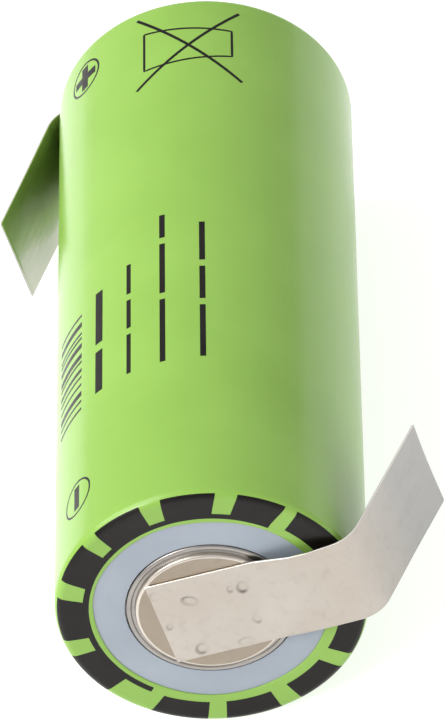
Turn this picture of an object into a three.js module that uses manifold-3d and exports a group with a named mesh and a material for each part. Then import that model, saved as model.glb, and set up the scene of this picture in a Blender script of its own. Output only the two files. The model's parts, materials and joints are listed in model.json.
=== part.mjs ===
// A cylindrical lithium iron phosphate battery cell of the 26 x 65 mm size, lying on its side,
// with a nickel solder tab welded to each end and bent back past the rim.
//
// Frame: millimetres, +Y along the cell from the negative end to the positive end, +X the way the
// negative tab points, +Z up. The origin is on the surface that the cell lies on, under the middle
// of the whole part, tabs included. The tabs reach unequally, so the cell's axis is a little to -X.
import * as THREE from "three";
import { mergeVertices } from "three/addons/utils/BufferGeometryUtils.js";
import Module from "manifold-3d";

const wasm = await Module();
wasm.setup();

// ---------- driving dimensions ----------
const SIDES = 64; // facets round every turned piece, so that nested pieces stay parallel
const LENGTH = 65.4; // over the sleeve, end plane to end plane
const SLEEVE_RADIUS = 13.1;
const SLEEVE_WALL = 0.12;
const SLEEVE_LIP_RADIUS = 9.9; // how far in the shrunk film reaches over each end
const RIM_RADIUS = 1.0; // rounding of both rims
const FIT = 0.02; // gap between pieces that touch

const CAN_WALL = 0.4;
const CAN_BOTTOM = 0.6;
const SCORE = { radius: 8.4, width: 0.4, depth: 0.3 }; // burst groove in the can's bottom

const RING = { inner: 7.2, outer: 10.43, thickness: 0.4 }; // pale insulating ring
const BUTTON_RADIUS = 6.2; // raised middle of the negative terminal
const BUTTON_RISE = 0.3; // how far each contact face stands past the sleeve's end plane
const CAP_FLANGE_RADIUS = 7.1;
const CAP_SHEET = 0.35;
const RIVET = { head: 5.8, shank: 4.2, tail: 5.2, fillHole: 0.9 };
const PLUG_RADIUS = 1.0;

const ROLL_TOP = 4.8; // depth of the winding's negative end below the end plane
const ROLL_BOTTOM = 2.5; // depth of its positive end
const MANDREL = { inner: 1.6, outer: 2.0 };
const WINDING = { start: 2.2, pitch: 3.3, turns: 2, stepsPerTurn: 40 };
const TAPE = { inner: 12.2, outer: 12.34 };
const INSULATOR_HOLE = 4.0;

const TAB = { width: 8.95, thickness: 0.2, inner: 4.4 }; // strip, and how far its end passes the axis
const NEGATIVE_TAB = { corner: 13.35, angle: 64.5, leaf: 13.4, bend: 2.5, shift: 0 };
const POSITIVE_TAB = { corner: 13.1, angle: 70, leaf: 14.5, bend: 2.5, shift: -0.86 }; // off centre
const TAB_GAP = 0.3; // left in the middle of each bend, about the hinge line

const LEAD = { width: 3, thickness: 0.15, radius: 3.2 };
const LEAD_ANGLES = [90, 270]; // about the cell's axis, from +X

// ---------- worked out from those ----------
const HALF = LENGTH / 2;
const AXIS_HEIGHT = SLEEVE_RADIUS * Math.cos(Math.PI / SIDES); // the lowest facet lies on z = 0
const CAN_RADIUS = SLEEVE_RADIUS - SLEEVE_WALL - FIT;
const CAN_INNER = CAN_RADIUS - CAN_WALL;
const END_FACE = SLEEVE_WALL + FIT; // depth of what the sleeve's lip lies on
// How far a tab's leaf reaches sideways from the cell's axis.
const reach = ({ corner, angle, leaf }) => {
  const beta = (angle * Math.PI) / 180;
  return corner + leaf * Math.cos(beta) + (TAB.thickness / 2) * Math.sin(beta);
};
const AXIS_X = (reach(POSITIVE_TAB) - reach(NEGATIVE_TAB)) / 2;
const TAB_PLANE = BUTTON_RISE + FIT + TAB.thickness / 2; // strip's middle, out from the end plane
const RING_BOTTOM = END_FACE + RING.thickness;

const group = new THREE.Group();
const cell = new THREE.Group(); // the cell's own frame, with its middle at the origin
cell.position.set(AXIS_X, 0, AXIS_HEIGHT);
group.add(cell);

// ---------- colours ----------
const finish = (color, roughness, metalness) =>
  new THREE.MeshStandardMaterial({ color, roughness, metalness });
const FILM_GREEN = finish(0x8cc653, 0.35, 0);
const NICKEL = finish(0xc4bbb0, 0.4, 1);
const ALUMINIUM = finish(0xc9ccd0, 0.35, 1);
const COPPER = finish(0xb9744a, 0.35, 1);
const STEEL = finish(0xb3b5b8, 0.3, 1);
const PALE_BLUE = finish(0xb4c2d6, 0.5, 0);
const POLYMER = finish(0xe4e6e3, 0.5, 0);
const GRAPHITE = finish(0x2b2c2e, 0.8, 0);
const CATHODE_GREY = finish(0x55585b, 0.8, 0);
const SEPARATOR_WHITE = finish(0xf0f1ee, 0.6, 0);
const TAPE_AMBER = finish(0xc58a2b, 0.3, 0);

// ---------- helpers ----------
const negative = (depth) => -HALF + depth; // y at a depth below the negative end plane
const positive = (depth) => HALF - depth; // y at a depth below the positive end plane
const radians = (degrees) => (degrees * Math.PI) / 180;

function add(name, geometry, material) {
  const mesh = new THREE.Mesh(geometry, material);
  mesh.name = name;
  cell.add(mesh);
  return mesh;
}

// Twice the area of a closed outline, positive when it runs anticlockwise.
function turning(points) {
  return points.reduce((sum, [x, y], i) => {
    const [nextX, nextY] = points[(i + 1) % points.length];
    return sum + x * nextY - nextX * y;
  }, 0);
}

// A solid turned about the cell's axis from a closed outline of [radius, y] points. An outline that
// touches the axis does so with its first and last points.
function turned(outline) {
  const anticlockwise = turning(outline) > 0 ? outline : [...outline].reverse();
  const onAxis = anticlockwise.findIndex(([r]) => r === 0);
  let ordered = anticlockwise;
  if (onAxis >= 0) {
    const n = anticlockwise.length;
    const first = anticlockwise.findIndex(([r], i) => r === 0 && anticlockwise[(i + 1) % n][0] > 0);
    ordered = anticlockwise.map((_, i) => anticlockwise[(first + i) % n]);
  } else {
    ordered = [...anticlockwise, anticlockwise[0]];
  }
  const points = ordered.map(([r, y]) => new THREE.Vector2(r, y));
  return new THREE.LatheGeometry(points, SIDES, Math.PI / SIDES);
}

// Points of a quarter-round from one angle to another, in degrees, about a centre.
function arc([centreR, centreY], radius, from, to, steps = 3) {
  return Array.from({ length: steps + 1 }, (_, i) => {
    const a = radians(from + ((to - from) * i) / steps);
    return [centreR + radius * Math.cos(a), centreY + radius * Math.sin(a)];
  });
}

// A strip of the given thickness and width that follows a polyline of [x, y] points in a plane.
// Its width lies along z.
function strip(path, thickness, width) {
  const side = (sign) =>
    path.map(([x, y], i) => {
      const [ax, ay] = path[Math.max(i - 1, 0)];
      const [bx, by] = path[Math.min(i + 1, path.length - 1)];
      const before = Math.atan2(y - ay, x - ax);
      const after = Math.atan2(by - y, bx - x);
      const first = i === 0 ? after : before;
      const last = i === path.length - 1 ? before : after;
      const middle = (first + last) / 2;
      const reach = (sign * thickness) / 2 / Math.cos((last - first) / 2);
      return new THREE.Vector2(x - reach * Math.sin(middle), y + reach * Math.cos(middle));
    });
  const shape = new THREE.Shape([...side(1), ...side(-1).reverse()]);
  const geometry = new THREE.ExtrudeGeometry(shape, { depth: width, bevelEnabled: false });
  return geometry.translate(0, 0, -width / 2);
}

function toManifold(geometry) {
  const bare = geometry.index ? geometry.toNonIndexed() : geometry.clone();
  bare.deleteAttribute("normal");
  bare.deleteAttribute("uv");
  const merged = mergeVertices(bare, 1e-4);
  return new wasm.Manifold(
    new wasm.Mesh({
      numProp: 3,
      vertProperties: merged.attributes.position.array,
      triVerts: new Uint32Array(merged.index.array),
    }),
  );
}

function fromManifold(solid) {
  const mesh = solid.getMesh();
  const geometry = new THREE.BufferGeometry();
  geometry.setAttribute("position", new THREE.BufferAttribute(mesh.vertProperties, 3));
  geometry.setIndex(new THREE.BufferAttribute(mesh.triVerts, 1));
  return geometry;
}

// ---------- outer sleeve ----------
function sleeve() {
  const centre = SLEEVE_RADIUS - RIM_RADIUS;
  const inside = RIM_RADIUS - SLEEVE_WALL;
  return turned([
    [SLEEVE_LIP_RADIUS, negative(0)],
    ...arc([centre, negative(RIM_RADIUS)], RIM_RADIUS, 270, 360),
    ...arc([centre, positive(RIM_RADIUS)], RIM_RADIUS, 0, 90),
    [SLEEVE_LIP_RADIUS, positive(0)],
    [SLEEVE_LIP_RADIUS, positive(SLEEVE_WALL)],
    ...arc([centre, positive(RIM_RADIUS)], inside, 90, 0),
    ...arc([centre, negative(RIM_RADIUS)], inside, 360, 270),
    [SLEEVE_LIP_RADIUS, negative(SLEEVE_WALL)],
  ]);
}
add("outer_sleeve", sleeve(), FILM_GREEN);

// ---------- can: one drawn cup, closed at the positive end ----------
function can() {
  const rim = CAN_RADIUS - (SLEEVE_RADIUS - RIM_RADIUS); // outside rounding under the sleeve
  const centre = CAN_RADIUS - rim;
  const mouth = 0.35; // depth of the mouth's edge
  const half = SCORE.width / 2;
  return turned([
    [0, positive(END_FACE)],
    [0, positive(END_FACE + CAN_BOTTOM)],
    [CAN_INNER, positive(END_FACE + CAN_BOTTOM)],
    [CAN_INNER, negative(mouth)],
    [CAN_INNER + 0.08, negative(mouth)],
    [CAN_RADIUS - 0.1, negative(0.62)],
    [CAN_RADIUS, negative(RIM_RADIUS)],
    ...arc([centre, positive(RIM_RADIUS)], rim, 0, 90),
    [SCORE.radius + half, positive(END_FACE)],
    [SCORE.radius, positive(END_FACE + SCORE.depth)],
    [SCORE.radius - half, positive(END_FACE)],
  ]);
}
add("can", can(), ALUMINIUM);

// ---------- negative end: lid, insulation and riveted terminal ----------
const LID = {
  radius: CAN_INNER - FIT,
  seat: RING_BOTTOM + FIT,
  pocket: 1.12,
  hole: 4.75,
  boss: 8.2,
  bossBottom: 2.0,
  plateBottom: 1.4,
};
add(
  "lid",
  turned([
    [LID.hole, negative(LID.pocket)],
    [CAP_FLANGE_RADIUS + 0.08, negative(LID.pocket)],
    [CAP_FLANGE_RADIUS + 0.08, negative(LID.seat)],
    [RING.outer + FIT, negative(LID.seat)],
    [RING.outer + FIT, negative(END_FACE)],
    [LID.radius - 0.35, negative(END_FACE)],
    [LID.radius, negative(0.4)],
    [LID.radius, negative(LID.plateBottom)],
    [LID.boss + 0.4, negative(LID.plateBottom)],
    [LID.boss, negative(LID.bossBottom)],
    [LID.hole, negative(LID.bossBottom)],
  ]),
  ALUMINIUM,
);

add(
  "insulating_ring",
  turned([
    [RING.inner, negative(END_FACE)],
    [RING.outer, negative(END_FACE)],
    [RING.outer, negative(RING_BOTTOM)],
    [RING.inner, negative(RING_BOTTOM)],
  ]),
  PALE_BLUE,
);

// A drawn hat: the raised button, a step, a shallow valley and a rounded flange.
const FLANGE_DEPTH = 0.14;
const CAP_BOTTOM = FLANGE_DEPTH + CAP_SHEET;
add(
  "negative_terminal_cap",
  turned([
    [0, negative(-BUTTON_RISE)],
    [BUTTON_RADIUS - 0.15, negative(-BUTTON_RISE)],
    [BUTTON_RADIUS, negative(-BUTTON_RISE + 0.08)],
    [BUTTON_RADIUS + 0.12, negative(FLANGE_DEPTH + 0.04)],
    [6.72, negative(FLANGE_DEPTH + 0.04)],
    [6.82, negative(0.06)],
    [7.02, negative(0.06)],
    [CAP_FLANGE_RADIUS, negative(FLANGE_DEPTH)],
    [CAP_FLANGE_RADIUS, negative(CAP_BOTTOM)],
    [RIVET.head + 0.06, negative(CAP_BOTTOM)],
    [RIVET.head + 0.06, negative(CAP_SHEET - BUTTON_RISE)],
    [0, negative(CAP_SHEET - BUTTON_RISE)],
  ]),
  NICKEL,
);

const GASKET_TOP = CAP_BOTTOM + FIT;
const INNER_GASKET = { top: LID.bossBottom + FIT, bottom: 2.5, radius: 7.6 };
const PLATE = { top: INNER_GASKET.bottom + FIT, bottom: 3.0, radius: 7.2 };
const TAIL = { top: PLATE.bottom + FIT, bottom: 3.4 };
const RIVET_TOP = CAP_SHEET - BUTTON_RISE + FIT;

add(
  "outer_gasket",
  turned([
    [RIVET.shank + 0.1, negative(GASKET_TOP)],
    [CAP_FLANGE_RADIUS + 0.06, negative(GASKET_TOP)],
    [CAP_FLANGE_RADIUS + 0.06, negative(LID.pocket - FIT)],
    [LID.hole - FIT, negative(LID.pocket - FIT)],
    [LID.hole - FIT, negative(LID.bossBottom)],
    [RIVET.shank + 0.1, negative(LID.bossBottom)],
  ]),
  POLYMER,
);

add(
  "terminal_rivet",
  turned([
    [RIVET.fillHole, negative(RIVET_TOP + 0.6)],
    [RIVET.fillHole + 0.5, negative(RIVET_TOP)],
    [RIVET.head, negative(RIVET_TOP)],
    [RIVET.head, negative(CAP_BOTTOM)],
    [RIVET.shank, negative(CAP_BOTTOM)],
    [RIVET.shank, negative(TAIL.top)],
    [RIVET.tail, negative(TAIL.top)],
    [RIVET.tail, negative(TAIL.bottom - 0.1)],
    [RIVET.tail - 0.3, negative(TAIL.bottom)],
    [RIVET.fillHole, negative(TAIL.bottom)],
  ]),
  COPPER,
);

// The ball that seals the filling hole sits in the rivet's countersink, under the cap.
function fillPlug() {
  const centre = RIVET_TOP + PLUG_RADIUS + 0.12;
  const half = Array.from({ length: 9 }, (_, i) => {
    const a = (Math.PI * i) / 8;
    return [PLUG_RADIUS * 0.8 * Math.sin(a), negative(centre + PLUG_RADIUS * Math.cos(a))];
  });
  half[0][0] = 0;
  half[8][0] = 0;
  return turned(half);
}
add("fill_plug", fillPlug(), STEEL);

add(
  "inner_gasket",
  turned([
    [RIVET.shank + 0.1, negative(INNER_GASKET.top)],
    [INNER_GASKET.radius, negative(INNER_GASKET.top)],
    [INNER_GASKET.radius, negative(INNER_GASKET.bottom)],
    [RIVET.shank + 0.1, negative(INNER_GASKET.bottom)],
  ]),
  POLYMER,
);

add(
  "inner_terminal_plate",
  turned([
    [RIVET.shank + FIT, negative(PLATE.top)],
    [PLATE.radius, negative(PLATE.top)],
    [PLATE.radius, negative(PLATE.bottom)],
    [RIVET.shank + FIT, negative(PLATE.bottom)],
  ]),
  COPPER,
);

// ---------- positive end: contact plate on the can's bottom ----------
add(
  "positive_contact_plate",
  turned([
    [0, positive(-BUTTON_RISE)],
    [BUTTON_RADIUS - 0.15, positive(-BUTTON_RISE)],
    [BUTTON_RADIUS, positive(-BUTTON_RISE + 0.12)],
    [BUTTON_RADIUS, positive(END_FACE - FIT)],
    [0, positive(END_FACE - FIT)],
  ]),
  NICKEL,
);

// ---------- insulators, mandrel, tape ----------
function washer(inner, outer, yA, yB) {
  return turned([
    [inner, yA],
    [outer, yA],
    [outer, yB],
    [inner, yB],
  ]);
}
const INSULATOR_RADIUS = CAN_INNER - 0.1;
add(
  "negative_end_insulator",
  washer(INSULATOR_HOLE, INSULATOR_RADIUS, negative(ROLL_TOP - 0.5), negative(ROLL_TOP - 0.2)),
  POLYMER,
);
add(
  "positive_end_insulator",
  washer(INSULATOR_HOLE, INSULATOR_RADIUS, positive(ROLL_BOTTOM - 0.5), positive(ROLL_BOTTOM - 0.2)),
  POLYMER,
);
add(
  "mandrel_tube",
  washer(MANDREL.inner, MANDREL.outer, negative(ROLL_TOP), positive(ROLL_BOTTOM)),
  STEEL,
);
add(
  "winding_tape",
  washer(TAPE.inner, TAPE.outer, negative(ROLL_TOP), positive(ROLL_BOTTOM)),
  TAPE_AMBER,
);

// ---------- winding: four sheets rolled together, drawn with few thick turns ----------
// Each sheet is a spiral wall, and lies at its own offset within one pitch.
const SHEETS = [
  { name: "separator_inner", offset: 0, thickness: 0.3, inset: 0, material: SEPARATOR_WHITE },
  { name: "anode_sheet", offset: 0.35, thickness: 1.25, inset: 0.6, material: GRAPHITE },
  { name: "separator_outer", offset: 1.65, thickness: 0.3, inset: 0, material: SEPARATOR_WHITE },
  { name: "cathode_sheet", offset: 2.0, thickness: 1.25, inset: 1.2, material: CATHODE_GREY },
];
function spiralSheet({ offset, thickness, inset }) {
  const steps = WINDING.turns * WINDING.stepsPerTurn;
  const wall = (extra) =>
    Array.from({ length: steps + 1 }, (_, i) => {
      const turn = i / WINDING.stepsPerTurn;
      const radius = WINDING.start + offset + extra + WINDING.pitch * turn;
      return new THREE.Vector2(
        radius * Math.cos(2 * Math.PI * turn),
        radius * Math.sin(2 * Math.PI * turn),
      );
    });
  const shape = new THREE.Shape([...wall(thickness), ...wall(0).reverse()]);
  const depth = LENGTH - ROLL_TOP - ROLL_BOTTOM - 2 * inset;
  const geometry = new THREE.ExtrudeGeometry(shape, { depth, bevelEnabled: false });
  geometry.rotateX(-Math.PI / 2); // extruded along +Y
  return geometry.translate(0, negative(ROLL_TOP + inset), 0);
}
for (const sheet of SHEETS) add(sheet.name, spiralSheet(sheet), sheet.material);

// ---------- leads from the winding to each terminal ----------
// A lead leaves the winding through the insulator's hole, turns outwards and lies on its contact.
function addLeads(prefix, path, material) {
  LEAD_ANGLES.forEach((angle, i) => {
    const lead = add(`${prefix}_${i + 1}`, strip(path, LEAD.thickness, LEAD.width), material);
    lead.rotation.y = radians(angle);
  });
}
const leadDepth = LEAD.thickness / 2 + FIT;
addLeads(
  "negative_lead",
  [
    [LEAD.radius, negative(ROLL_TOP - 0.06)],
    [LEAD.radius, negative(3.62)],
    [5.5, negative(3.62)],
    [5.75, negative(PLATE.bottom + leadDepth)],
    [6.9, negative(PLATE.bottom + leadDepth)],
  ],
  COPPER,
);
const CAN_FLOOR = END_FACE + CAN_BOTTOM;
addLeads(
  "positive_lead",
  [
    [LEAD.radius, positive(ROLL_BOTTOM - 0.06)],
    [LEAD.radius, positive(CAN_FLOOR + leadDepth)],
    [6.9, positive(CAN_FLOOR + leadDepth)],
  ],
  ALUMINIUM,
);

// ---------- solder tabs ----------
// Each strip is welded flat on its terminal, runs out over the rim and bends back beside the cell.
// It is divided in the middle of its bend, where the welded foot and the free leaf hinge.
function addTab(prefix, { corner, angle, leaf, bend, shift }, turn) {
  const beta = radians(angle);
  const setback = bend * Math.tan(beta / 2); // from the sharp corner to where the bend starts
  const plane = negative(-TAB_PLANE);
  const gapAngle = TAB_GAP / 2 / bend;
  const quarter = (from, to) =>
    Array.from({ length: 5 }, (_, i) => {
      const a = from + ((to - from) * i) / 4;
      return [corner - setback + bend * Math.sin(a), plane + bend * (1 - Math.cos(a))];
    });
  const tip = [corner + leaf * Math.cos(beta), plane + leaf * Math.sin(beta)];
  const pieces = {
    foot: [[-TAB.inner, plane], ...quarter(0, beta / 2 - gapAngle)],
    leaf: [...quarter(beta / 2 + gapAngle, beta), tip],
  };
  for (const [part, path] of Object.entries(pieces)) {
    const mesh = add(`${prefix}_${part}`, strip(path, TAB.thickness, TAB.width), NICKEL);
    mesh.rotation.z = turn;
    mesh.position.z = shift;
  }
}
addTab("negative_tab", NEGATIVE_TAB, 0);
addTab("positive_tab", POSITIVE_TAB, Math.PI);

// ---------- window in each lead's insulator ----------
// A notch at the hole's edge lets each lead pass without touching the insulator.
function notched(name) {
  const mesh = cell.getObjectByName(name);
  const notch = new THREE.BoxGeometry(2 * (LEAD.radius + 0.9), LENGTH, LEAD.width + 0.6);
  notch.rotateY(radians(LEAD_ANGLES[0]));
  mesh.geometry = fromManifold(toManifold(mesh.geometry).subtract(toManifold(notch)));
}
notched("negative_end_insulator");
notched("positive_end_insulator");

export default group;
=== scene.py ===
"""A cylindrical battery cell in a green shrunk sleeve, with a bent solder tab at each end."""

import json
import math
import random

import bmesh
import bpy
from mathutils import Matrix, Vector


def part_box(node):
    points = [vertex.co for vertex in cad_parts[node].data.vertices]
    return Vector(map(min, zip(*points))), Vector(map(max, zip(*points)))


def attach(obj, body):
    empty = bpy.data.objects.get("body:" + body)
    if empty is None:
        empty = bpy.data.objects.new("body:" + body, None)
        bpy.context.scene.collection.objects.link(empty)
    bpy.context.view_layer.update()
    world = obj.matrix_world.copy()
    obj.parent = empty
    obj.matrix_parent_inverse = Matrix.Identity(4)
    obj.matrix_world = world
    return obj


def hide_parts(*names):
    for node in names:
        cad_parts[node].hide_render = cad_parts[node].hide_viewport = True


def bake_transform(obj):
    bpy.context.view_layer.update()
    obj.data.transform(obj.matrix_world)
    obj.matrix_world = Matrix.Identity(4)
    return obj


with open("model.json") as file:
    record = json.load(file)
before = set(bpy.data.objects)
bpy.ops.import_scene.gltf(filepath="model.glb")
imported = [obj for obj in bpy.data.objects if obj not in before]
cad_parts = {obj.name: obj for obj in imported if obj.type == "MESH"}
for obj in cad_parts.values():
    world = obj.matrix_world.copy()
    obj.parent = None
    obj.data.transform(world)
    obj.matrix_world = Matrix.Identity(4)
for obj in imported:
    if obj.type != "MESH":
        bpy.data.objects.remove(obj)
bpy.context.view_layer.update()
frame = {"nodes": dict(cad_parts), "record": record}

MM = 0.001

# ---------- places, from the frame ----------
SLEEVE_LO, SLEEVE_HI = (Vector(corner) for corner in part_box("outer_sleeve"))
RADIUS = (SLEEVE_HI.x - SLEEVE_LO.x) / 2 / MM
HALF = (SLEEVE_HI.y - SLEEVE_LO.y) / 2 / MM
RIVET_LO, RIVET_HI = (Vector(corner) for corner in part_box("terminal_rivet"))
AXIS_X = (RIVET_LO.x + RIVET_HI.x) / 2 / MM
AXIS_Z = (RIVET_LO.z + RIVET_HI.z) / 2 / MM
JOINTS = {joint["name"]: joint for joint in frame["record"]["behaviour"]["joints"]}

# ---------- dimensions, in millimetres ----------
FILM = 0.12  # the sleeve's thickness
LIP_RADIUS = 9.9  # radius at which the film ends on both faces
NEAR_RIM = 0.75  # rounding of the negative rim
FAR_RIM = 1.05  # rounding of the positive rim
INK_LIFT = 0.008  # how far print lies above the film

CONTACT_RISE = -0.3  # depth of both contact faces: they stand past the end planes
BARE_DEPTH = 0.14  # depth of the washer ring and of the can's bottom below the end planes
RING_INNER, RING_OUTER, RING_THICKNESS = 7.2, 10.4, 0.4
CAP_FACE, CAP_EDGE = 6.08, 6.36  # radii at which the cap's finish changes; between them its rounded edge is painted bright as a highlight

STRIP_THICKNESS = 0.2
STRIP_WIDTH = 8.95
STRIP_INNER = 4.4  # how far the welded end passes the cell's axis
BEND_RADIUS = 2.5
NEGATIVE_LEAF = 13.4  # from the corner that the bend rounds off, to the free end
POSITIVE_LEAF = 14.5
POSITIVE_SHIFT = -0.86  # the positive strip is off centre
STRIP_ROUNDING = 0.05  # of the strip's long edges
STRIP_DIVISIONS = 82  # across the strip's faces
FINE_STEP, COARSE_STEP = 0.11, 0.3  # along the strip, by the weld marks and beyond them
FINE_TO = 4.6  # how far past the axis the fine steps go
WELDS_TO = 5.5  # how far past the axis a weld mark can reach
LEAF_SHADE_SPAN = (17.0, 26.0)  # along the strip, where its colour turns darker and cooler: painted shade on the bent leaf
INNER_FACE = 0.08  # distance from the strip's middle at which the inner face's finish is full
EDGE_FROM, EDGE_TO = 0.045, 0.02  # the painted highlight on the cut edges fades in between these, from the side

# The strips aren't quite flat. Places along a strip are measured from the cell's axis.
LIFT_START, LIFT_RISE = 5.0, 3.0  # where the sheet leaves the cap, and over what length
LIFT_END, LIFT_FALL = 13.5, 4.0  # where it is flat again, and over what length
LIFT_SIDE = 4.5  # distance from the strip's middle at which a lift is full
LOW_SIDE_LIFT = 0.16  # lift of the side that isn't twisted up
WAVE = 0.035  # height of the long, shallow waves
BOW_RISE = 6.0  # length past the bend over which the curl comes in

# ---------- light ----------
WORLD_STRENGTH = 0.64
FLOOR_GLOW = 0.76
FLOOR_SIZE = 8
FLOOR_DROP = 0.0001  # the floor lies this far below the cell, in metres

# ---------- camera: degrees, metres from the cell's middle, and its lens in mm ----------
# The camera is turned this far about the cell's axis, and the print's angles have the same zero.
VIEW_TURN = 17.0
ELEVATION = 41.325
ROLL = -0.789
DISTANCE = 0.647671
ASIDE = 0.001169
ABOVE = -0.000839
SENSOR_WIDTH = 36
FOCAL_LENGTH = 374.4


def turned_angle(degrees):
    """An angle about the cell's axis in the row frame, in radians, from one in the view's."""
    return math.radians(degrees - VIEW_TURN)


# ---------- mesh helpers ----------
def to_frame(x, y, z):
    """A point given in mm about the cell's middle, in metres in the row frame."""
    return ((x + AXIS_X) * MM, y * MM, (z + AXIS_Z) * MM)


def new_object(name, vertices, faces, material, body="cell", smooth_angle=35):
    """A smooth shaded piece in the scene, which rides on a body if one is named."""
    mesh = bpy.data.meshes.new(name)
    mesh.from_pydata(vertices, [], faces)
    editing = bmesh.new()
    editing.from_mesh(mesh)
    bmesh.ops.recalc_face_normals(editing, faces=editing.faces)
    editing.to_mesh(mesh)
    editing.free()
    mesh.shade_smooth()
    mesh.set_sharp_from_angle(angle=math.radians(smooth_angle))
    mesh.materials.append(material)
    obj = bpy.data.objects.new(name, mesh)
    bpy.context.scene.collection.objects.link(obj)
    if body:
        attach(obj, body)
    return obj


def clamp(value):
    return min(max(value, 0.0), 1.0)


def arc(centre, radius, start, end, steps):
    """Points on an arc about a centre, from one angle to another, in degrees."""
    return [
        (
            centre[0] + radius * math.cos(math.radians(start + (end - start) * i / steps)),
            centre[1] + radius * math.sin(math.radians(start + (end - start) * i / steps)),
        )
        for i in range(steps + 1)
    ]


def rounded(outline, radius, steps=4, closed=True):
    """An outline of (r, y) points with each corner rounded off."""
    points = [Vector(p) for p in outline]
    count = len(points)
    result = []
    for i, here in enumerate(points):
        before, after = points[i - 1], points[(i + 1) % count]
        if not closed and i in (0, count - 1):
            result.append(tuple(here))
            continue
        a, b = before - here, after - here
        reach = min(radius, a.length * 0.45, b.length * 0.45)
        start, end = here + a.normalized() * reach, here + b.normalized() * reach
        for k in range(steps + 1):
            t = k / steps
            mid = start.lerp(here, t).lerp(here.lerp(end, t), t)
            result.append(tuple(mid))
    return result


def turned(name, outline, material, segments=192, closed=True, wobble=None, **options):
    """A solid or skin of revolution about the cell's axis from (r, y) points."""
    vertices, faces, rings = [], [], []
    for r, y in outline:
        if r < 1e-6:
            rings.append([len(vertices)])
            vertices.append(to_frame(0, y, 0))
            continue
        ring = []
        for i in range(segments):
            a = 2 * math.pi * i / segments
            dr, dy = wobble(a, r, y) if wobble else (0, 0)
            ring.append(len(vertices))
            vertices.append(
                to_frame((r + dr) * math.cos(a), y + dy, (r + dr) * math.sin(a))
            )
        rings.append(ring)
    pairs = list(zip(rings, rings[1:]))
    if closed:
        pairs.append((rings[-1], rings[0]))
    for a, b in pairs:
        if len(a) == 1 and len(b) == 1:
            continue
        for i in range(segments):
            j = (i + 1) % segments
            if len(a) == 1:
                faces.append((a[0], b[j], b[i]))
            elif len(b) == 1:
                faces.append((a[i], a[j], b[0]))
            else:
                faces.append((a[i], a[j], b[j], b[i]))
    return new_object(name, vertices, faces, material, **options)


# ---------- materials ----------
class Nodes:
    """A material's node tree, with short calls for the nodes used here."""

    def __init__(self, name):
        self.material = bpy.data.materials.new(name)
        self.material.use_nodes = True
        self.tree = self.material.node_tree
        self.shader = self.tree.nodes["Principled BSDF"]
        self.object = self.tree.nodes.new("ShaderNodeTexCoord").outputs["Object"]

    def link(self, a, b):
        self.tree.links.new(a, b)

    def scaled(self, scale, source=None):
        node = self.tree.nodes.new("ShaderNodeMapping")
        node.inputs["Scale"].default_value = scale
        self.link(source or self.object, node.inputs["Vector"])
        return node.outputs["Vector"]

    def attribute(self, name):
        node = self.tree.nodes.new("ShaderNodeAttribute")
        node.attribute_name = name
        return node.outputs["Vector"]

    def value(self, name):
        node = self.tree.nodes.new("ShaderNodeAttribute")
        node.attribute_name = name
        return node.outputs["Fac"]

    def parts(self, vector):
        node = self.tree.nodes.new("ShaderNodeSeparateXYZ")
        self.link(vector, node.inputs[0])
        return node.outputs[0], node.outputs[1], node.outputs[2]

    def noise(self, scale, detail=3.0, roughness=0.5, vector=None, distortion=0.0):
        node = self.tree.nodes.new("ShaderNodeTexNoise")
        node.inputs["Scale"].default_value = scale
        node.inputs["Detail"].default_value = detail
        node.inputs["Roughness"].default_value = roughness
        node.inputs["Distortion"].default_value = distortion
        self.link(vector or self.object, node.inputs["Vector"])
        return node.outputs["Fac"]

    def ramp(self, value, low, high, to_low=0.0, to_high=1.0):
        node = self.tree.nodes.new("ShaderNodeMapRange")
        node.inputs["From Min"].default_value = low
        node.inputs["From Max"].default_value = high
        node.inputs["To Min"].default_value = to_low
        node.inputs["To Max"].default_value = to_high
        self.link(value, node.inputs["Value"])
        return node.outputs["Result"]

    def math(self, operation, a, b):
        node = self.tree.nodes.new("ShaderNodeMath")
        node.operation = operation
        for socket, value in zip(node.inputs, (a, b)):
            if isinstance(value, (int, float)):
                socket.default_value = value
            else:
                self.link(value, socket)
        return node.outputs["Value"]

    def mix(self, factor, a, b):
        node = self.tree.nodes.new("ShaderNodeMix")
        node.data_type = "RGBA"
        self.link(factor, node.inputs["Factor"])
        for socket, value in ((node.inputs[6], a), (node.inputs[7], b)):
            if isinstance(value, tuple):
                socket.default_value = (*value, 1)
            else:
                self.link(value, socket)
        return node.outputs[2]

    def bump(self, height, distance, strength=1.0, normal=None):
        node = self.tree.nodes.new("ShaderNodeBump")
        node.inputs["Distance"].default_value = distance
        node.inputs["Strength"].default_value = strength
        self.link(height, node.inputs["Height"])
        if normal:
            self.link(normal, node.inputs["Normal"])
        return node.outputs["Normal"]

    def finish(self, color, roughness, normal=None, **values):
        self.link(color, self.shader.inputs["Base Color"])
        self.link(roughness, self.shader.inputs["Roughness"])
        if normal:
            self.link(normal, self.shader.inputs["Normal"])
        for name, value in values.items():
            self.shader.inputs[name.replace("_", " ")].default_value = value
        return self.material


def film_material():
    n = Nodes("green_film")
    cloud = n.noise(90, 3)
    fine = n.noise(2600, 2)
    color = n.mix(n.ramp(cloud, 0.35, 0.68), (0.202, 0.364, 0.061), (0.224, 0.394, 0.072))
    scuffs = n.noise(1.0, 4, 0.6, n.scaled((2400, 160, 2400)))
    scuff = n.ramp(scuffs, 0.70, 0.80, 0.0, 0.07)
    color = n.mix(scuff, color, (0.45, 0.58, 0.30))
    roughness = n.math("ADD", n.ramp(cloud, 0.3, 0.7, 0.19, 0.27), n.math("MULTIPLY", scuff, 0.8))
    peel = n.bump(n.noise(420, 2), 0.00003, 0.5)
    normal = n.bump(fine, 0.000004, 0.35, peel)
    return n.finish(color, roughness, normal, IOR=1.37, Subsurface_Weight=0.05,
                    Subsurface_Scale=0.0004)


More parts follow.
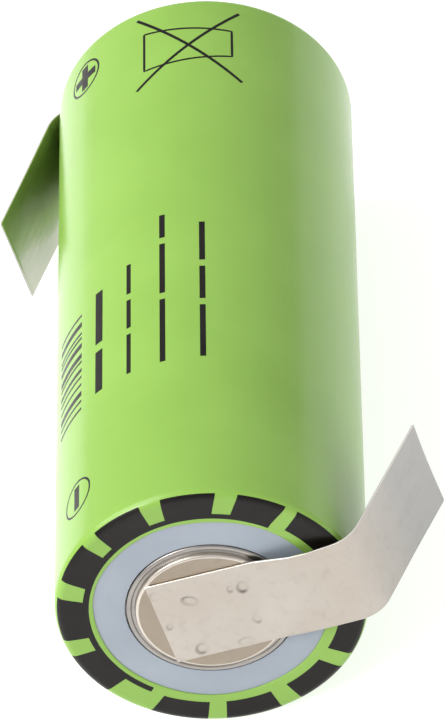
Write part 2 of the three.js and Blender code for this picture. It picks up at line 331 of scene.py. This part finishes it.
def ink_material():
    n = Nodes("black_ink")
    cloud = n.noise(240, 4, 0.6)
    color = n.mix(n.ramp(cloud, 0.3, 0.7), (0.0035, 0.0025, 0.0018), (0.009, 0.007, 0.006))
    wear = n.ramp(n.noise(1500, 3), 0.67, 0.74, 0.0, 0.35)
    color = n.mix(wear, color, (0.024, 0.027, 0.018))
    roughness = n.ramp(n.noise(700, 3), 0.3, 0.7, 0.27, 0.39)
    return n.finish(color, roughness, n.bump(n.noise(420, 2), 0.00003, 0.4), IOR=1.29)


def ring_material():
    n = Nodes("pale_ring")
    cloud = n.noise(160, 3)
    color = n.mix(n.ramp(cloud, 0.35, 0.65), (0.258, 0.293, 0.337), (0.285, 0.318, 0.362))
    roughness = n.ramp(n.noise(800, 3), 0.3, 0.7, 0.36, 0.52)
    return n.finish(color, roughness, n.bump(n.noise(2200, 3), 0.000006, 0.5), IOR=1.46,
                    Subsurface_Weight=0.15, Subsurface_Scale=0.0006)


def nickel_material(name, warm, cool, coordinates=None, grain=(60, 1500, 1500)):
    """Rolled nickel: a fine grain, soft stains and a few light marks.

    With the name of a coordinate attribute it also gets what only the strips have: weld tints
    with painted shade on one side of each pit, a free end painted darker and cooler as shade, a
    paler and smoother inner face, and cut edges painted near white as a highlight.
    """
    n = Nodes(name)
    place = n.attribute(coordinates) if coordinates else n.object
    lines = n.noise(1.0, 5, 0.65, n.scaled(grain, place))
    stain = n.noise(150, 4, 0.55, place)
    color = n.mix(n.ramp(stain, 0.32, 0.70), warm, cool)
    color = n.mix(n.ramp(lines, 0.40, 0.75, 0.0, 0.16), color, tuple(c * 1.16 for c in cool))
    smudge = n.ramp(n.noise(850, 5, 0.65, place), 0.52, 0.72, 0.0, 0.20)
    color = n.mix(smudge, color, tuple(c * 0.74 for c in warm))
    roughness = n.math(
        "ADD", n.ramp(lines, 0.3, 0.7, 0.30, 0.42), n.math("MULTIPLY", smudge, 0.4)
    )
    if coordinates:
        # Weld tint, with painted shade on one side of each pit, darkens the strip by the weld
        # marks.
        weld_tint_and_shade = n.value("weld")
        color = n.mix(weld_tint_and_shade, color, tuple(c * 0.42 for c in warm))
        length, width, depth = n.parts(place)
        # The free end is painted darker and cooler: painted shade on the leaf, which faces away
        # from the key light.
        leaf_shade = n.ramp(length, LEAF_SHADE_SPAN[0] * MM, LEAF_SHADE_SPAN[1] * MM, 0.0, 0.8)
        color = n.mix(leaf_shade, color, (0.298, 0.300, 0.296))
        inside = n.ramp(depth, 0.0, -INNER_FACE * MM)
        color = n.mix(inside, color, (0.50, 0.50, 0.44))
        roughness = n.math("MULTIPLY", roughness, n.ramp(inside, 0.0, 1.0, 1.0, 0.5))
        # The cut edges are painted near white: a painted highlight.
        half_width = STRIP_WIDTH / 2
        edge_highlight = n.ramp(
            n.math("ABSOLUTE", width, 0),
            (half_width - EDGE_FROM) * MM,
            (half_width - EDGE_TO) * MM,
        )
        color = n.mix(edge_highlight, color, (0.93, 0.88, 0.82))
    normal = n.bump(lines, 0.000010, 0.55)
    normal = n.bump(n.noise(520, 3, 0.5, place), 0.00004, 0.45, normal)
    return n.finish(color, roughness, normal, Metallic=1.0)


def plain_material(name, low, high, roughness, metallic=0.0, scale=500):
    """A softly mottled finish for pieces inside the cell and under its sleeve."""
    n = Nodes(name)
    cloud = n.noise(scale, 4, 0.55)
    color = n.mix(n.ramp(cloud, 0.3, 0.7), low, high)
    rough = n.ramp(n.noise(scale * 3, 3), 0.3, 0.7, roughness - 0.07, roughness + 0.07)
    normal = n.bump(n.noise(scale * 4, 3), 0.000008, 0.5)
    return n.finish(color, rough, normal, Metallic=metallic)


film = film_material()
ink = ink_material()
pale_ring = ring_material()
strip_nickel = nickel_material(
    "strip_nickel", (0.400, 0.354, 0.308), (0.440, 0.402, 0.360), "sheet"
)
cap_nickel = nickel_material(
    "cap_nickel", (0.266, 0.222, 0.174), (0.315, 0.268, 0.215), grain=(900, 900, 900)
)
flange_nickel = nickel_material(
    "flange_nickel", (0.255, 0.235, 0.218), (0.345, 0.325, 0.305), grain=(900, 900, 900)
)
# A bright nickel for the rounded edge of the cap's face: a painted highlight.
cap_highlight_nickel = nickel_material(
    "cap_highlight_nickel", (0.540, 0.485, 0.425), (0.640, 0.582, 0.515), grain=(900, 900, 900)
)
aluminium = plain_material("aluminium", (0.38, 0.385, 0.39), (0.46, 0.465, 0.47), 0.34, 1.0)

# ---------- sleeve ----------
# The film runs from the lip on the negative end, over its rim, along the side, and over the
# positive rim to the lip on that end.


def sleeve_profile(lift=0.0):
    """The film's outer surface as (r, y) points, raised by a lift."""
    near = (RADIUS - NEAR_RIM, -HALF + NEAR_RIM)
    far = (RADIUS - FAR_RIM, HALF - FAR_RIM)
    points = [(LIP_RADIUS + (near[0] - LIP_RADIUS) * i / 8, -HALF - lift) for i in range(8)]
    points += arc(near, NEAR_RIM + lift, 270, 360, 16)
    steps = 60
    points += [
        (RADIUS + lift, near[1] + (far[1] - near[1]) * i / steps) for i in range(1, steps)
    ]
    points += arc(far, FAR_RIM + lift, 0, 90, 16)
    points += [(far[0] + (LIP_RADIUS - far[0]) * i / 8, HALF + lift) for i in range(1, 9)]
    return points


def lip_wobble(a, r, y):
    """The lips are a little uneven, because the film shrank onto the ends."""
    near_lip = max(0.0, 1 - (r - LIP_RADIUS) / 2.2) if abs(y) > HALF - 0.3 else 0.0
    uneven = 0.06 * math.sin(3 * a + 0.7) + 0.035 * math.sin(7 * a + 2.1)
    ripple = 0.02 * math.sin(13 * a) * near_lip
    inward = 1 if y < 0 else -1
    return near_lip**2 * uneven, inward * (near_lip * 0.04 + abs(ripple) * 0.6)


outer = sleeve_profile()
inner = [
    (LIP_RADIUS, HALF - FILM),
    (RADIUS - FAR_RIM, HALF - FILM),
    *arc((RADIUS - FAR_RIM, HALF - FAR_RIM), FAR_RIM - FILM, 80, 0, 6),
    *arc((RADIUS - NEAR_RIM, -HALF + NEAR_RIM), NEAR_RIM - FILM, 360, 280, 6),
    (RADIUS - NEAR_RIM, -HALF + FILM),
    (LIP_RADIUS, -HALF + FILM),
]
lip_far = [(LIP_RADIUS - 0.05, HALF - 0.03), (LIP_RADIUS - 0.05, HALF - FILM + 0.03)]
lip_near = [(LIP_RADIUS - 0.05, -HALF + FILM - 0.03), (LIP_RADIUS - 0.05, -HALF + 0.03)]
sleeve = turned(
    "sleeve_film", outer + lip_far + inner + lip_near, film, 256, wobble=lip_wobble,
    smooth_angle=60,
)
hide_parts("outer_sleeve")

# ---------- print ----------
# Print is a skin of ink that lies on the film.


class Ink:
    """Collects patches of ink into one piece."""

    def __init__(self):
        self.vertices, self.faces = [], []

    def grid(self, rows):
        """Adds a patch from rows of points in mm about the cell's middle."""
        start, width = len(self.vertices), len(rows[0])
        for row in rows:
            self.vertices += [to_frame(*point) for point in row]
        for i in range(len(rows) - 1):
            for j in range(width - 1):
                a = start + i * width + j
                self.faces.append((a, a + 1, a + width + 1, a + width))

    def side_point(self, arc_length, y):
        a = arc_length / RADIUS
        r = RADIUS + INK_LIFT
        return (r * math.cos(a), y, r * math.sin(a))

    def stroke(self, path, width, closed=False):
        """A line of one width on the side, along (arc length, y) points in mm."""
        points = [Vector(p) for p in path]
        if closed:
            points.append(points[0])
        fine = [points[0]]
        for a, b in zip(points, points[1:]):
            steps = max(1, math.ceil((b - a).length / 0.3))
            fine += [a.lerp(b, i / steps) for i in range(1, steps + 1)]
        across = max(2, math.ceil(width / 0.3))
        rows = []
        for i, here in enumerate(fine):
            before = fine[i - 1] if i or not closed else fine[-2]
            after = fine[i + 1] if i + 1 < len(fine) else (fine[1] if closed else here)
            along = (after - (before if i or closed else here)).normalized()
            side = Vector((-along.y, along.x))
            row = [here + side * width * (k / across - 0.5) for k in range(across + 1)]
            rows.append([self.side_point(p.x, p.y) for p in row])
        self.grid(rows)

    def piece(self, name):
        obj = new_object(name, self.vertices, self.faces, ink, smooth_angle=60)
        return obj


# The castellated band round the negative rim. Each gap between its blocks is given by the angles
# of its two edges at the rim, and of the same edges at the band's inner end.
GAPS = [
    ((56.1, 61.1), (55.2, 62.4)),
    ((79.8, 88.1), (81.2, 89.4)),
    ((108.7, 117.2), (110.4, 117.8)),
    ((138.0, 145.3), (139.4, 146.2)),
    ((164.7, 173.6), (166.8, 175.0)),
    ((195.6, 204.2), (196.8, 205.0)),
    ((226.0, 245.7), (227.2, 247.6)),
    ((268.0, 275.2), (268.6, 276.1)),
    ((297.2, 306.0), (297.0, 305.2)),
    ((327.9, 335.4), (326.4, 334.4)),
    ((357.0, 364.8), (356.0, 364.0)),
    ((26.0, 34.0), (25.2, 33.4)),
]
BLOCK_INNER = 10.72  # radius at which the blocks end
TAPER_FROM = 0.2  # distance inside the side at which a gap's edges begin to lean
LINE_SPAN = (62.4, 241.2)  # a thin line joins the blocks' inner ends over these angles
LINE_RADII = (10.22, 10.74)


def block_profile():
    """A block's outer surface as (r, y) points, from its inner end over the rim."""
    near = (RADIUS - NEAR_RIM, -HALF + NEAR_RIM)
    flat = [
        (BLOCK_INNER + (near[0] - BLOCK_INNER) * i / 6, -HALF - INK_LIFT) for i in range(6)
    ]
    return flat + arc(near, NEAR_RIM + INK_LIFT, 270, 316, 9)


def lay(r, y, a):
    """A point of the print on the end, following the film's unevenness."""
    return (r * math.cos(a), y + lip_wobble(a, r, y)[1], r * math.sin(a))


band = Ink()
ordered = sorted(GAPS)
for i, (outer_gap, inner_gap) in enumerate(ordered):
    next_outer, next_inner = ordered[(i + 1) % len(ordered)]
    start, end = (outer_gap[1], inner_gap[1]), (next_outer[0], next_inner[0])
    while end[0] < start[0]:
        end = (end[0] + 360, end[1] + 360)
    while start[0] >= 360:
        start, end = (start[0] - 360, start[1] - 360), (end[0] - 360, end[1] - 360)
    rows = []
    for r, y in block_profile():
        lean_start = RADIUS - TAPER_FROM
        inward = clamp((lean_start - r) / (lean_start - BLOCK_INNER))
        a0 = start[0] + (start[1] - start[0]) * inward
        a1 = end[0] + (end[1] - end[0]) * inward
        steps = math.ceil((end[0] - start[0]) / 1.2)
        rows.append(
            [lay(r, y, turned_angle(a0 + (a1 - a0) * k / steps)) for k in range(steps + 1)]
        )
    band.grid(rows)
rows = []
for k in range(4):
    r = LINE_RADII[0] + (LINE_RADII[1] - LINE_RADII[0]) * k / 3
    steps = 160
    span = LINE_SPAN[1] - LINE_SPAN[0]
    angles = [turned_angle(LINE_SPAN[0] + span * i / steps) for i in range(steps + 1)]
    rows.append([lay(r, -HALF - INK_LIFT, a) for a in angles])
band.grid(rows)
band.piece("printed_band")


def side(angle, y):
    """A place on the side as (arc length, y) in mm."""
    return (turned_angle(angle) * RADIUS, y)


def ring_path(centre, radius, steps=48):
    """A circle on the side, as (arc length, y) points in mm."""
    return [
        (
            centre[0] + radius * math.cos(2 * math.pi * i / steps),
            centre[1] + radius * math.sin(2 * math.pi * i / steps),
        )
        for i in range(steps)
    ]


def bar(mark, centre, length, width, along_y=True):
    """Adds a straight stroke about a centre to a mark."""
    half = length / 2
    step = (0, half) if along_y else (half, 0)
    mark.stroke(
        [(centre[0] - step[0], centre[1] - step[1]), (centre[0] + step[0], centre[1] + step[1])],
        width,
    )


minus = Ink()
centre = side(148, -26.35)
minus.stroke(ring_path(centre, 1.86), 0.2, closed=True)
bar(minus, centre, 2.7, 0.76)
minus.piece("printed_minus")

plus = Ink()
centre = side(144.4, 28.1)
plus.stroke(ring_path(centre, 1.92), 0.22, closed=True)
bar(plus, centre, 3.0, 0.9)
for sign in (-1, 1):
    bar(plus, (centre[0] + sign * 0.975, centre[1]), 1.05, 0.9, along_y=False)
plus.piece("printed_plus")

# A plain crossed box and rows of plain dashes, in place of any wording.
box_mark = Ink()
left, right = side(114, 0)[0], side(79.4, 0)[0]
corners = [(left, 28.7), (right, 27.9), (right, 24.4), (left, 23.6)]
box_mark.stroke(corners + [corners[0]], 0.22)
box_mark.stroke([side(117, 31.0), side(75.6, 21.0)], 0.3)
box_mark.stroke([side(76.4, 30.5), side(117.2, 21.2)], 0.3)
box_mark.piece("printed_box")

# Each row is (its middle angle, dash width, [(start, end) along the cell]).
DASHES = [
    (135.0, 0.85, [(-15.6, -10.4), (-9.4, -2.8)]),
    (120.8, 0.42, [(-15.6, -10.6), (-9.8, -6.2), (-5.4, -1.6)]),
    (107.0, 0.5, [(-15.6, -7.6), (-6.8, -0.4), (0.4, 3.4)]),
    (91.8, 0.5, [(-15.6, -9.0), (-8.2, -4.0), (-3.2, 1.8)]),
]
dashes = Ink()
for angle, width, spans in DASHES:
    for start, end in spans:
        bar(dashes, side(angle, (start + end) / 2), end - start, width)
# A row of upright bars of uneven widths, with no code in them.
shake = random.Random(3)
y, middle = -15.8, side(154.5, 0)[0]
while y < -3.2:
    width = shake.choice((0.28, 0.28, 0.45, 0.62))
    bar(dashes, (middle, y + width / 2), 4.2, width, along_y=False)
    y += width + shake.choice((0.32, 0.5, 0.7))
dashes.piece("printed_dashes")

# ---------- negative end ----------


def near_y(depth):
    """y at a depth in mm below the negative end plane."""
    return -HALF + depth


def far_y(depth):
    """y at a depth in mm below the positive end plane."""
    return HALF - depth


ring = turned(
    "washer_ring",
    rounded(
        [
            (RING_INNER, near_y(BARE_DEPTH)),
            (RING_OUTER, near_y(BARE_DEPTH)),
            (RING_OUTER, near_y(BARE_DEPTH + RING_THICKNESS)),
            (RING_INNER, near_y(BARE_DEPTH + RING_THICKNESS)),
        ],
        0.07,
    ),
    pale_ring,
)
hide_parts("insulating_ring")

cap = turned(
    "terminal_cap",
    rounded(
        [
            (0, near_y(CONTACT_RISE)), (6.12, near_y(CONTACT_RISE)),
            (6.32, near_y(-0.2)), (6.38, near_y(0.17)),
            (6.66, near_y(0.19)), (6.74, near_y(0.05)), (7.02, near_y(0.05)),
            (7.12, near_y(0.16)), (7.12, near_y(0.49)), (5.9, near_y(0.49)),
            (5.9, near_y(0.05)), (0, near_y(0.05)),
        ],
        0.07,
        closed=False,
    ),
    cap_nickel,
    closed=False,
    smooth_angle=60,
)
cap.data.materials.append(flange_nickel)
cap.data.materials.append(cap_highlight_nickel)
# Faces between CAP_FACE and CAP_EDGE get the painted highlight, and those outside get the flange's
# finish.
for polygon in cap.data.polygons:
    middle = polygon.center - Vector(to_frame(0, 0, 0))
    reach = math.hypot(middle.x, middle.z) / MM
    polygon.material_index = 1 if reach > CAP_EDGE else 2 if reach > CAP_FACE else 0
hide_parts("negative_terminal_cap")

# ---------- positive end ----------
can_radius = RADIUS - FILM - 0.02
can_bottom = turned(
    "can_shell",
    rounded(
        [
            (0, far_y(BARE_DEPTH)), (8.1, far_y(BARE_DEPTH)),
            (8.28, far_y(0.34)), (8.52, far_y(0.34)), (8.7, far_y(BARE_DEPTH)),
            (can_radius - 0.8, far_y(BARE_DEPTH)), (can_radius, far_y(1.0)),
            (can_radius, near_y(0.9)), (can_radius - 0.4, near_y(0.4)),
            (can_radius - 0.4, far_y(0.74)), (0, far_y(0.74)),
        ],
        0.12,
        closed=False,
    ),
    aluminium,
    closed=False,
)
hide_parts("can")

plate = turned(
    "contact_plate",
    rounded(
        [
            (0, far_y(CONTACT_RISE)), (6.1, far_y(CONTACT_RISE)),
            (6.2, far_y(-0.2)), (6.2, far_y(0.12)),
            (0, far_y(0.12)),
        ],
        0.08,
        closed=False,
    ),
    cap_nickel,
    closed=False,
)
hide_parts("positive_contact_plate")

# ---------- solder tabs ----------


def weld_mark(x, w, centre_x, centre_w, radius, depth, stretch, turn):
    """(height, tint and shade) of one weld mark at a place on the strip: a pit with a raised,
    uneven rim, and a darker ring just inside the rim that is weld tint all round and painted shade
    on its leaning side.
    """
    dx, dw = x - centre_x, w - centre_w
    c, s = math.cos(turn), math.sin(turn)
    u, v = (dx * c + dw * s) / stretch, -dx * s + dw * c
    rho = math.hypot(u, v) / radius
    if rho > 2.4:
        return 0.0, 0.0
    bottom = -depth / (1 + rho**6)
    lean = (0.5 + 0.5 * math.cos(math.atan2(v, u) - 2.4)) ** 1.6
    rim = depth * 0.7 * lean * math.exp(-(((rho - 1.2) / 0.28) ** 2))
    nub = depth * 0.5 * math.exp(-(((u / radius - 0.2) ** 2 + (v / radius) ** 2) / 0.12))
    # The darker ring is a little weld tint all round, and mostly painted shade on the pit's
    # leaning side.
    tint_and_shade = depth / 0.13 * (0.12 + 0.68 * lean) * math.exp(-(((rho - 0.95) / 0.26) ** 2))
    return bottom + rim + nub, tint_and_shade


# (along the strip, across it, radius, depth, stretch, turn), in mm and degrees
NEGATIVE_WELDS = [
    (-3.9, 3.25, 0.44, 0.05, 1.1, 20),
    (-1.3, 1.9, 0.46, 0.13, 1.45, -35),
    (2.3, 2.15, 0.26, 0.09, 1.3, 80),
    (3.35, 2.05, 0.46, 0.13, 1.2, 80),
    (-3.75, -0.4, 0.27, 0.09, 1.2, 60),
    (-1.95, -3.6, 0.50, 0.12, 1.1, 60),
    (3.4, -1.75, 0.30, 0.08, 1.5, 110),
    (1.75, -3.9, 0.40, 0.05, 1.5, 0),
]
POSITIVE_WELDS = [
    (-3.5, 2.1, 0.44, 0.10, 1.2, 10),
    (-1.0, 3.1, 0.46, 0.12, 1.35, 70),
    (2.5, 1.8, 0.34, 0.10, 1.25, 40),
    (-2.6, -3.0, 0.47, 0.12, 1.1, 120),
    (0.2, -1.9, 0.28, 0.08, 1.4, 25),
    (2.9, -3.1, 0.45, 0.12, 1.15, 85),
    (3.3, 2.5, 0.24, 0.07, 1.1, 0),
]


def tab(name, nodes, joint_name, leaf_length, welds, twist, bow, sign, shift=0.0):
    """One continuous strip, from its welded end, round its bend, to its free end.

    Twist is how far one side is lifted between the cap and the bend, bow how far the free end's
    sides curl, and shift how far the strip is off centre, all in mm. The sign is 1 for the
    negative end and -1 for the positive one.
    """
    joint = JOINTS[joint_name]
    hinge = Vector(joint["pos_m"]) / MM
    beta = math.radians(-joint["range_deg"][0])
    flat_y = sign * hinge.y - BEND_RADIUS * (1 - math.cos(beta / 2))
    bend_x = sign * (hinge.x - AXIS_X) - BEND_RADIUS * math.sin(beta / 2)
    setback = BEND_RADIUS * math.tan(beta / 2)
    foot_length = STRIP_INNER + bend_x
    bend_length = BEND_RADIUS * beta
    total = foot_length + bend_length + leaf_length - setback

    def along(s):
        """(x, y, direction) of the strip's middle at a distance from its welded end."""
        if s <= foot_length:
            return -STRIP_INNER + s, flat_y, 0.0
        if s <= foot_length + bend_length:
            a = (s - foot_length) / BEND_RADIUS
            return (
                bend_x + BEND_RADIUS * math.sin(a),
                flat_y + BEND_RADIUS * (1 - math.cos(a)),
                a,
            )
        rest = s - foot_length - bend_length
        return (
            bend_x + BEND_RADIUS * math.sin(beta) + rest * math.cos(beta),
            flat_y + BEND_RADIUS * (1 - math.cos(beta)) + rest * math.sin(beta),
            beta,
        )

    def shape(s, w):
        """How far the sheet stands out from its plane: it isn't perfectly flat."""
        x, aside = s - STRIP_INNER, w / LIFT_SIDE
        off_cap = clamp((x - LIFT_START) / LIFT_RISE)
        past_cap = off_cap * clamp((LIFT_END - x) / LIFT_FALL)
        lifted = past_cap * (twist * max(0.0, aside) ** 1.5 + LOW_SIDE_LIFT * max(0.0, -aside))
        wave = WAVE * math.sin(0.55 * s + 0.4) * math.sin(0.5 * w + 1.1)
        free = clamp((s - foot_length - bend_length) / BOW_RISE)
        return lifted + wave * off_cap + bow * free * aside**2

    stations, s = [], 0.0
    while s < total - 1e-6:
        stations.append(s)
        s += FINE_STEP if s < STRIP_INNER + FINE_TO else COARSE_STEP
    stations.append(total)
    half_w, half_t, round_off = STRIP_WIDTH / 2, STRIP_THICKNESS / 2, STRIP_ROUNDING
    count = STRIP_DIVISIONS
    across = [-half_w + round_off + (STRIP_WIDTH - 2 * round_off) * i / count
              for i in range(count + 1)]
    section = [(w, half_t, True) for w in across]
    section += [(half_w - round_off * 0.3, half_t - round_off * 0.3, False),
                (half_w, half_t - round_off, False), (half_w, -half_t + round_off, False),
                (half_w - round_off * 0.3, -half_t + round_off * 0.3, False)]
    section += [(w, -half_t, False) for w in reversed(across)]
    section += [(-half_w + round_off * 0.3, -half_t + round_off * 0.3, False),
                (-half_w, -half_t + round_off, False), (-half_w, half_t - round_off, False),
                (-half_w + round_off * 0.3, half_t - round_off * 0.3, False)]

    vertices, faces, sheet, weld_tint_and_shade = [], [], [], []
    last = len(stations) - 1
    for i, s in enumerate(stations):
        x, y, a = along(s)
        for w, n, outside in section:
            height, tint_and_shade = n + shape(s, w), 0.0
            if outside and s < STRIP_INNER + WELDS_TO:
                for weld in welds:
                    rise, shade = weld_mark(
                        s - STRIP_INNER, w, *weld[:5], math.radians(weld[5])
                    )
                    height, tint_and_shade = height + rise, tint_and_shade + shade
            weld_tint_and_shade.append(min(1.0, tint_and_shade))
            if i in (0, last):
                height -= math.copysign(round_off * 0.5, n)
            px, py = x + height * math.sin(a), y - height * math.cos(a)
            vertices.append(to_frame(sign * px, sign * py, w + shift))
            sheet.append((s * MM, w * MM, n * MM))
    width = len(section)
    for i in range(last):
        for j in range(width):
            k = (j + 1) % width
            faces.append(
                (i * width + j, i * width + k, (i + 1) * width + k, (i + 1) * width + j)
            )
    outer_count = len(across)
    lower = outer_count + 4
    for base in (0, last * width):
        for j in range(outer_count - 1):
            faces.append((base + j, base + j + 1, base + lower + outer_count - 2 - j,
                          base + lower + outer_count - 1 - j))
        faces.append(tuple(base + outer_count - 1 + j for j in range(6)))
        faces.append(tuple(base + (lower + outer_count - 1 + j) % width for j in range(6)))
    obj = new_object(name, vertices, faces, strip_nickel, body=None, smooth_angle=50)
    attribute = obj.data.attributes.new("sheet", "FLOAT_VECTOR", "POINT")
    attribute.data.foreach_set("vector", [c for point in sheet for c in point])
    # The weld attribute holds each point's weld tint and painted shade.
    attribute = obj.data.attributes.new("weld", "FLOAT", "POINT")
    attribute.data.foreach_set("value", weld_tint_and_shade)
    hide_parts(*nodes)
    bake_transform(obj)
    return obj


tab(
    "negative_solder_tab", ("negative_tab_foot", "negative_tab_leaf"), "negative_tab_bend",
    NEGATIVE_LEAF, NEGATIVE_WELDS, twist=0.5, bow=0.05, sign=1,
)
tab(
    "positive_solder_tab", ("positive_tab_foot", "positive_tab_leaf"), "positive_tab_bend",
    POSITIVE_LEAF, POSITIVE_WELDS, twist=0.2, bow=-0.04, sign=-1, shift=POSITIVE_SHIFT,
)

# ---------- pieces inside the cell ----------
INSIDE = {
    "aluminium": ["lid", "positive_lead_1", "positive_lead_2"],
    "copper": ["terminal_rivet", "inner_terminal_plate", "negative_lead_1", "negative_lead_2"],
    "steel": ["fill_plug", "mandrel_tube"],
    "polymer": ["outer_gasket", "inner_gasket", "negative_end_insulator",
                "positive_end_insulator"],
    "amber_tape": ["winding_tape"],
    "graphite": ["anode_sheet"],
    "cathode": ["cathode_sheet"],
    "separator": ["separator_inner", "separator_outer"],
}
FINISHES = {
    "aluminium": aluminium,
    "copper": plain_material("copper", (0.62, 0.30, 0.19), (0.70, 0.36, 0.23), 0.32, 1.0),
    "steel": plain_material("steel", (0.48, 0.48, 0.50), (0.56, 0.56, 0.58), 0.3, 1.0),
    "polymer": plain_material("polymer", (0.70, 0.72, 0.69), (0.78, 0.80, 0.77), 0.5),
    "amber_tape": plain_material("amber_tape", (0.50, 0.23, 0.03), (0.60, 0.30, 0.05), 0.3),
    "graphite": plain_material("graphite", (0.02, 0.02, 0.02), (0.045, 0.045, 0.045), 0.8),
    "cathode": plain_material("cathode", (0.07, 0.08, 0.08), (0.12, 0.13, 0.13), 0.8),
    "separator": plain_material("separator", (0.80, 0.81, 0.79), (0.88, 0.89, 0.87), 0.6),
}
for finish, names in INSIDE.items():
    for node_name in names:
        node = frame["nodes"][node_name]
        node.data.materials.clear()
        node.data.materials.append(FINISHES[finish])

# ---------- floor, light and camera ----------


def floor_material():
    """A pale floor that is lit a little from within, as a light table is."""
    n = Nodes("floor")
    color = n.mix(n.ramp(n.noise(3, 2), 0.3, 0.7), (0.46, 0.46, 0.46), (0.49, 0.49, 0.49))
    rough = n.ramp(n.noise(20, 2), 0.3, 0.7, 0.85, 0.95)
    return n.finish(color, rough, Emission_Color=(1, 1, 1, 1), Emission_Strength=FLOOR_GLOW)


bpy.ops.mesh.primitive_plane_add(size=FLOOR_SIZE, location=(0, 0, -FLOOR_DROP))
floor = bpy.context.object
floor.name = "floor"
floor.data.materials.append(floor_material())

world = bpy.data.worlds.new("studio")
bpy.context.scene.world = world
world.use_nodes = True
background = world.node_tree.nodes["Background"]
background.inputs["Color"].default_value = (1, 1, 1, 1)
background.inputs["Strength"].default_value = WORLD_STRENGTH

centre_point = Vector(to_frame(0, 0, 0))
turn = Matrix.Rotation(math.radians(VIEW_TURN), 4, "Y")
elevation, roll = math.radians(ELEVATION), math.radians(ROLL)
view_back = Vector((0, -math.cos(elevation), math.sin(elevation)))
level_right = Vector((1, 0, 0))
level_up = view_back.cross(level_right)
view_right = level_right * math.cos(roll) + level_up * math.sin(roll)
view_up = -level_right * math.sin(roll) + level_up * math.cos(roll)
offset = view_right * ASIDE + view_up * ABOVE + view_back * DISTANCE
axes = [(turn @ v.to_4d()).to_3d() for v in (view_right, view_up, view_back)]
position = centre_point + turn.to_3x3() @ offset

camera_data = bpy.data.cameras.new("camera")
camera_data.sensor_width = SENSOR_WIDTH
camera_data.lens = FOCAL_LENGTH
camera_data.clip_start = 0.01
camera = bpy.data.objects.new("camera", camera_data)
camera.matrix_world = Matrix.Translation(position) @ Matrix(axes).transposed().to_4x4()
bpy.context.scene.collection.objects.link(camera)
bpy.context.scene.camera = camera


def softbox(name, right, up, back, size, power):
    """A square soft light that faces the cell, placed in metres along the camera's directions."""
    light = bpy.data.lights.new(name, "AREA")
    light.shape = "SQUARE"
    light.size = size
    light.energy = power
    obj = bpy.data.objects.new(name, light)
    where = centre_point + axes[0] * right + axes[1] * up + axes[2] * back
    obj.location = where
    obj.rotation_euler = (centre_point - where).to_track_quat("-Z", "Y").to_euler()
    bpy.context.scene.collection.objects.link(obj)


softbox("key", -0.85, 0.45, 0.45, 0.9, 13.3)
softbox("fill", 0.8, 0.15, 0.5, 0.7, 0.3)
softbox("side", -0.62, 0.02, 0.68, 0.30, 4.0)

scene = bpy.context.scene
scene.view_settings.view_transform = "Standard"
scene.view_settings.look = "None"
